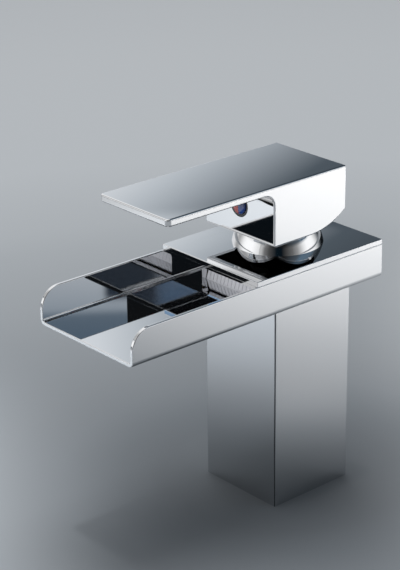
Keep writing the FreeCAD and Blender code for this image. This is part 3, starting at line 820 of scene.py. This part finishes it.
class Generator:
    """Geometry Nodes tree with named sizes, run once on a start shape and kept as a plain mesh."""

    KINDS = {int: "NodeSocketInt", float: "NodeSocketFloat", Vector: "NodeSocketVector"}

    def __init__(self, name: str, finish: Finish, **sizes: int | float | Vector) -> None:
        """Args:
            name: The tree's name.
            finish: What its result is dressed in.
            sizes: Value of each named input.
        """
        self.group = bpy.data.node_groups.new(name, "GeometryNodeTree")
        self.tree = Tree(self.group)
        self.sizes = sizes
        sockets = self.group.interface
        sockets.new_socket("Geometry", in_out="INPUT", socket_type="NodeSocketGeometry")
        sockets.new_socket("Geometry", in_out="OUTPUT", socket_type="NodeSocketGeometry")
        for label, value in sizes.items():
            sockets.new_socket(label, in_out="INPUT", socket_type=self.KINDS[type(value)])
        shape = self.grow(self.tree.node("NodeGroupInput"))
        real = self.tree.node("GeometryNodeRealizeInstances", None, {"Geometry": shape})["Geometry"]
        inputs = {"Geometry": real, "Material": finish.material()}
        done = self.tree.node("GeometryNodeSetMaterial", None, inputs)["Geometry"]
        self.tree.node("NodeGroupOutput", None, {"Geometry": done})

    def grow(self, inputs: Node) -> Signal:
        """Geometry made from the inputs."""
        raise NotImplementedError

    def run(self, start: bmesh.types.BMesh) -> bpy.types.Mesh:
        """Run the tree.

        Args:
            start: The shape that it starts from, which is used up.

        Returns:
            The plain mesh, in the start shape's units.
        """
        carrier = bpy.data.objects.new(self.group.name, as_mesh(self.group.name, start))
        bpy.context.scene.collection.objects.link(carrier)
        modifier = carrier.modifiers.new(self.group.name, "NODES")
        modifier.node_group = self.group
        for item in self.group.interface.items_tree:
            if item.name in self.sizes:
                value = self.sizes[item.name]
                modifier[item.identifier] = tuple(value) if isinstance(value, Vector) else value
        graph = bpy.context.evaluated_depsgraph_get()
        mesh = bpy.data.meshes.new_from_object(carrier.evaluated_get(graph))
        bpy.data.objects.remove(carrier)
        return mesh


class Row(Generator):
    """Copies of the start shape in a straight row; sizes: count, first, step."""

    def grow(self, inputs: Node) -> Signal:
        """Points on a line, with a copy on each."""
        places = {"Count": inputs["count"], "Start Location": inputs["first"], "Offset": inputs["step"]}
        line = self.tree.node("GeometryNodeMeshLine", {"mode": "OFFSET"}, places)["Mesh"]
        copies = {"Points": line, "Instance": inputs["Geometry"]}
        return self.tree.node("GeometryNodeInstanceOnPoints", None, copies)["Instances"]


class Thread(Generator):
    """Helical ridge round the start shape; sizes: turns, pitch, radius, depth, first."""

    def grow(self, inputs: Node) -> Signal:
        """A spiral swept with a four-sided ridge, joined to the rod."""
        turns = {
            "Resolution": 20, "Rotations": inputs["turns"], "Start Radius": inputs["radius"],
            "End Radius": inputs["radius"], "Height": inputs["turns"] * inputs["pitch"],
        }
        spiral = self.tree.node("GeometryNodeCurveSpiral", None, turns)["Curve"]
        spiral = self.tree.node("GeometryNodeSetCurveNormal", {"mode": "Z_UP"}, {"Curve": spiral})["Curve"]
        section = {"Resolution": 4, "Radius": inputs["depth"]}
        ridge = self.tree.node("GeometryNodeCurvePrimitiveCircle", None, section)["Curve"]
        sweep = {"Curve": spiral, "Profile Curve": ridge, "Fill Caps": True}
        swept = self.tree.node("GeometryNodeCurveToMesh", None, sweep)["Mesh"]
        lifted = {"Geometry": swept, "Translation": inputs["first"]}
        placed = self.tree.node("GeometryNodeTransform", None, lifted)["Geometry"]
        join = self.tree.node("GeometryNodeJoinGeometry", None, {"Geometry": placed})
        self.tree.tree.links.new(inputs["Geometry"].socket, join.node.inputs["Geometry"])
        return join["Geometry"]


def add_piece(name: str, mesh: bpy.types.Mesh, finish: Finish, body: Body, slot: str, *nodes: str) -> None:
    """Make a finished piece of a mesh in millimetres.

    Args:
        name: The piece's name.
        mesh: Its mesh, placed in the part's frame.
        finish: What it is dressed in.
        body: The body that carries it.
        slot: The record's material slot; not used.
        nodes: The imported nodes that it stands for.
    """
    mesh.name = name
    mesh.transform(Matrix.Scale(MM, 4))
    mesh.materials.clear()
    mesh.materials.append(finish.material())
    mesh.polygons.foreach_set("use_smooth", [True] * len(mesh.polygons))
    mesh.set_sharp_from_angle(angle=math.radians(32))
    piece = bpy.data.objects.new(name, mesh)
    bpy.context.scene.collection.objects.link(piece)
    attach(piece, body.value)
    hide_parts(*nodes)
    log.info("%s: %d faces, %s finish, on %s", name, len(mesh.polygons), finish.name, body.value)


# ---------------------------------------------------------------- sub-assemblies
@dataclass
class Column:
    """Square column with its foot."""

    def build(self) -> None:
        """Dress the column and what closes its foot."""
        CHROME_BODY.dress("column_shell")
        BRASS.dress("base_plate")
        BLACK_RUBBER.dress("base_gasket")


@dataclass
class Clamp:
    """Studs, nuts and horseshoe clamp below the deck."""

    stud_radius: float = 3.0
    stud_top: float = 6.8
    stud_bottom: float = -55.2
    spread: float = 13.0
    pitch: float = 1.0
    ridge: float = 0.42
    point: float = 0.9
    chamfer: float = 0.6
    bare_end: float = 1.0
    rod_sides: int = 24
    nut_flats: float = 10.0
    nut_height: float = 5.0
    nut_bottom: float = -40.0
    nut_face: float = 0.94
    nut_slope: float = 30.0
    nut_clearance: float = 0.1
    countersink: float = 0.5
    nut_steps: int = 72

    def build(self) -> None:
        """Make studs and nuts, and dress the clamp."""
        first, step = Vector((0, -self.spread, 0)), Vector((0, 2 * self.spread, 0))
        studs = Row("stud_pair", ZINC, count=2, first=first, step=step).run(self._stud())
        add_piece("threaded_studs", studs, ZINC, Body.FAUCET, "plated_steel", "mounting_studs")
        nuts = Row("nut_pair", ZINC, count=2, first=first, step=step).run(self._nut())
        add_piece("hexagon_nuts", nuts, ZINC, Body.FAUCET, "plated_steel", "clamp_nuts")
        ZINC.dress("clamp_plate")
        BLACK_RUBBER.dress("clamp_rubber")

    def _stud(self) -> bmesh.types.BMesh:
        """Rod with pointed ends and a rolled thread, on the axis."""
        root = self.stud_radius - self.ridge
        low, high = self.stud_bottom, self.stud_top
        section = [(0, low), (root - self.point, low), (root, low + self.point)]
        section += [(root, high - self.chamfer), (root - self.chamfer, high), (0, high)]
        rod = lathe(section, self.rod_sides)
        turns = math.floor(high - low - 2 * self.bare_end) / self.pitch
        sizes = {"turns": turns, "pitch": self.pitch, "radius": root, "depth": self.ridge}
        thread = Thread("thread", ZINC, first=Vector((0, 0, low + self.bare_end)), **sizes)
        shape = bmesh.new()
        shape.from_mesh(thread.run(rod))
        return shape

    def _nut(self) -> bmesh.types.BMesh:
        """Hexagon nut with turned corners and a countersunk bore, on the axis."""
        steps, half, height = self.nut_steps, self.nut_flats / 2, self.nut_height
        face, bore, sink = half * self.nut_face, self.stud_radius + self.nut_clearance, self.countersink
        rows = []
        for k in range(steps):
            turn = math.tau * k / steps
            reach = half / math.cos((turn + math.pi / 6) % (math.pi / 3) - math.pi / 6)
            drop = (reach - face) * math.tan(math.radians(self.nut_slope))
            section = [(bore, sink), (bore + sink, 0), (face, 0), (reach, drop), (reach, height - drop)]
            section += [(face, height), (bore + sink, height), (bore, height - sink)]
            way = Vector((math.cos(turn), math.sin(turn), 0))
            rows.append([way * r + Vector((0, 0, self.nut_bottom + h)) for r, h in section])
        shape = bmesh.new()
        grid = [[shape.verts.new(point) for point in row] for row in rows]
        for k, row in enumerate(grid):
            beside = grid[(k + 1) % steps]
            for i in range(len(row)):
                j = (i + 1) % len(row)
                shape.faces.new((row[i], beside[i], beside[j], row[j]))
        bmesh.ops.recalc_face_normals(shape, faces=shape.faces)
        return shape


@dataclass
class Spout:
    """Trough of bent sheet with its end plates and cover."""

    def build(self) -> None:
        """Dress the plated sheet pieces."""
        CHROME_TROUGH.dress("spout_trough")
        CHROME_SHEET.dress("rear_plate", "outlet_baffle", "top_cover")


@dataclass
class Comb:
    """Ribbed block in the window of the chamber, its face leaning back."""

    half_width: float = 19.95
    front: float = -27.8
    back: float = -23.7
    floor: float = 106.82
    height: float = 6.15
    lean: float = 18.0
    corner: float = 1.4
    ribs: int = 16
    pitch: float = 2.5
    slot: float = 0.45
    depth: float = 0.3
    rail: float = 0.5
    sunk: float = 0.3
    eased: float = 0.2

    def build(self) -> None:
        """Make block, rails and ribs as one moulding."""
        step, first = Vector((self.pitch, 0, 0)), Vector((-self.pitch * (self.ribs - 1) / 2, 0, 0))
        ribs = Row("comb_ribs", COMB_PLASTIC, count=self.ribs, first=first, step=step).run(self._rib())
        top = self.floor + self.height
        moulding = bmesh.new()
        moulding.from_mesh(ribs)
        for low, high, inset in ((self.floor, top, self.depth), (top - self.rail, top, 0.0),
                                 (self.floor, self.floor + self.rail, 0.0)):
            moulding.from_mesh(as_mesh("comb_part", self._bar(low, high, inset)))
        mesh = as_mesh("comb", moulding)
        add_piece("ribbed_comb", mesh, COMB_PLASTIC, Body.FAUCET, "comb_plastic", "flow_comb")

    def _face(self, height: float) -> float:
        """Place of the leaning face at a height."""
        return self.front + (height - self.floor) * math.tan(math.radians(self.lean))

    def _rib(self) -> bmesh.types.BMesh:
        """One rib with eased front edges, in the middle."""
        low, high = self.floor + self.sunk, self.floor + self.height - self.sunk
        wide, inside = self.pitch - self.slot, self.depth + self.sunk
        corners = [(self._face(low), low), (self._face(low) + inside, low)]
        corners += [(self._face(high) + inside, high), (self._face(high), high)]
        outline = [Vector((-wide / 2, y, z)) for y, z in corners]
        shape = pushed(outline, Vector((wide, 0, 0)))
        front = [e for e in shape.edges if all(abs(v.co.y - self._face(v.co.z)) < 0.01 for v in e.verts)]
        upright = [e for e in front if abs(e.verts[0].co.z - e.verts[1].co.z) > 1]
        bmesh.ops.bevel(shape, geom=upright, offset=self.eased, segments=3, profile=0.5, affect="EDGES")
        return shape

    def _bar(self, low: float, high: float, inset: float) -> bmesh.types.BMesh:
        """Bar across the comb, with rounded upper corners where it reaches the top.

        Args:
            low: Its lower side.
            high: Its upper side.
            inset: How far its face is behind the comb's.

        Returns:
            The shape.
        """
        half, top = self.half_width, self.floor + self.height
        centre = (half - self.corner, top - self.corner)
        arc = [point for point in quarter(centre, self.corner, 90) if point[1] >= low]
        sides = arc + [(half if low < centre[1] else arc[-1][0], low)]
        if high <= centre[1]:
            sides = [(half, high), (half, low)]
        right = [Vector((x, 0, min(z, high))) for x, z in sides]
        left = [Vector((-point.x, 0, point.z)) for point in reversed(right)]
        outline = right + left
        shape = pushed(outline, Vector((0, 1, 0)))
        for vert in shape.verts:
            vert.co.y = self.back if vert.co.y > 0.5 else self._face(vert.co.z) + inset
        bmesh.ops.recalc_face_normals(shape, faces=shape.faces)
        return shape


@dataclass
class Valve:
    """Brass body in the column's top, with its seals and lock ring."""

    def build(self) -> None:
        """Dress body, gasket and ring."""
        BRASS.dress("valve_body", "valve_lock_ring")
        FIBRE.dress("valve_gasket")
        SEAL_RUBBER.dress("port_seals", "disc_seals")


@dataclass
class Cartridge:
    """Ceramic-disc cartridge."""

    def build(self) -> None:
        """Dress base, shell, discs, slider, rotor and pin."""
        WHITE_PLASTIC.dress("cartridge_base", "cartridge_shell")
        GREY_PLASTIC.dress("cartridge_rotor", "disc_carrier")
        CERAMIC.dress("fixed_disc", "moving_disc")
        STAINLESS.dress("rotor_pin")


@dataclass
class Collar:
    """Dome on the cover and the nut below it."""

    def build(self) -> None:
        """Dress dome and nut."""
        CHROME_TURNED.dress("dome_cap")
        SHADED_BRASS.dress("retaining_nut")


@dataclass
class Lever:
    """Paddle lever with its stem and screw."""

    def build(self) -> None:
        """Dress handle, stem and screw."""
        CHROME_HUB.dress("lever_handle")
        SHADED_BRASS.dress("lever_stem")
        BLACKENED.dress("grub_screw")


class Water(Enum):
    """Halves of the indicator, with the sign of X that each lies on."""

    HOT = -1
    COLD = 1


@dataclass
class Indicator:
    """Black cup in the hub's face with a crowned button, one half red and one blue."""

    height: float = 148.4
    face: float = 24.3
    radius: float = 5.8
    depth: float = 4.0
    seat: float = 1.2
    button: float = 4.4
    proud: float = 0.9
    crown: float = 0.22
    edge: float = 0.5
    seam: float = 0.03
    play: float = 0.05
    lift: float = 0.02
    soft: float = 0.25
    steps: int = 72
    crown_points: int = 6

    def build(self) -> None:
        """Make the cup and both halves of the button."""
        ring = lathe(self._cup(), self.steps)
        self._set("indicator_ring", ring, LENS_BLACK, "indicator_black", "indicator_cup")
        hot, cold = self._half(Water.HOT), self._half(Water.COLD)
        self._set("indicator_hot_half", hot, LENS_RED, "indicator_red", "indicator_hot")
        self._set("indicator_cold_half", cold, LENS_BLUE, "indicator_blue", "indicator_cold")

    def _cup(self) -> Profile:
        """Section of the cup: a bore for the button and rounded edges."""
        bottom, bore, soft = self.face - self.seat, self.button + self.play, self.soft
        section = [(0.0, bottom), (bore, bottom)]
        section += quarter((bore + soft, self.face - soft), soft, 180)
        section += quarter((self.radius - soft, self.face - soft), soft, 90)
        return section + [(self.radius, self.face - self.depth), (0.0, self.face - self.depth)]

    def _half(self, side: Water) -> bmesh.types.BMesh:
        """One half of the crowned button.

        Args:
            side: Which half.

        Returns:
            The shape, still standing on Z.
        """
        top, flat, points = self.face + self.proud, self.button - self.edge, self.crown_points
        section = [(flat * k / points, top - self.crown * (k / points) ** 2) for k in range(points + 1)]
        section += quarter((flat, top - self.crown - self.edge), self.edge, 90)[1:]
        bottom = self.face - self.seat + self.lift
        section += [(self.button, bottom), (0.0, bottom)]
        shape = lathe(section, self.steps)
        everything = shape.verts[:] + shape.edges[:] + shape.faces[:]
        away = Vector((-side.value, 0, 0))
        cut = bmesh.ops.bisect_plane(
            shape, geom=everything, plane_co=-away * self.seam, plane_no=away, clear_outer=True)
        rim = [part for part in cut["geom_cut"] if isinstance(part, bmesh.types.BMEdge)]
        bmesh.ops.holes_fill(shape, edges=rim)
        bmesh.ops.recalc_face_normals(shape, faces=shape.faces)
        return shape

    def _set(self, name: str, shape: bmesh.types.BMesh, finish: Finish, slot: str, node: str) -> None:
        """Turn a shape that stands on Z towards -Y and set it in the hub.

        Args:
            name: The piece's name.
            shape: Its shape.
            finish: What it is dressed in.
            slot: The record's material slot.
            node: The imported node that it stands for.
        """
        turn = Matrix.Translation((0, 0, self.height)) @ Matrix.Rotation(math.radians(90), 4, "X")
        bmesh.ops.transform(shape, matrix=turn, verts=shape.verts)
        add_piece(name, as_mesh(name, shape), finish, Body.LEVER, slot, node)


def main() -> None:
    """Build everything in order."""
    logging.basicConfig(level=logging.INFO, format="%(name)s: %(message)s", stream=sys.stdout)
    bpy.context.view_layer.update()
    Camera().build()
    Studio().build()
    for assembly in (Column, Clamp, Spout, Comb, Valve, Cartridge, Collar, Lever, Indicator):
        assembly().build()


if __name__ == "__main__":
    main()
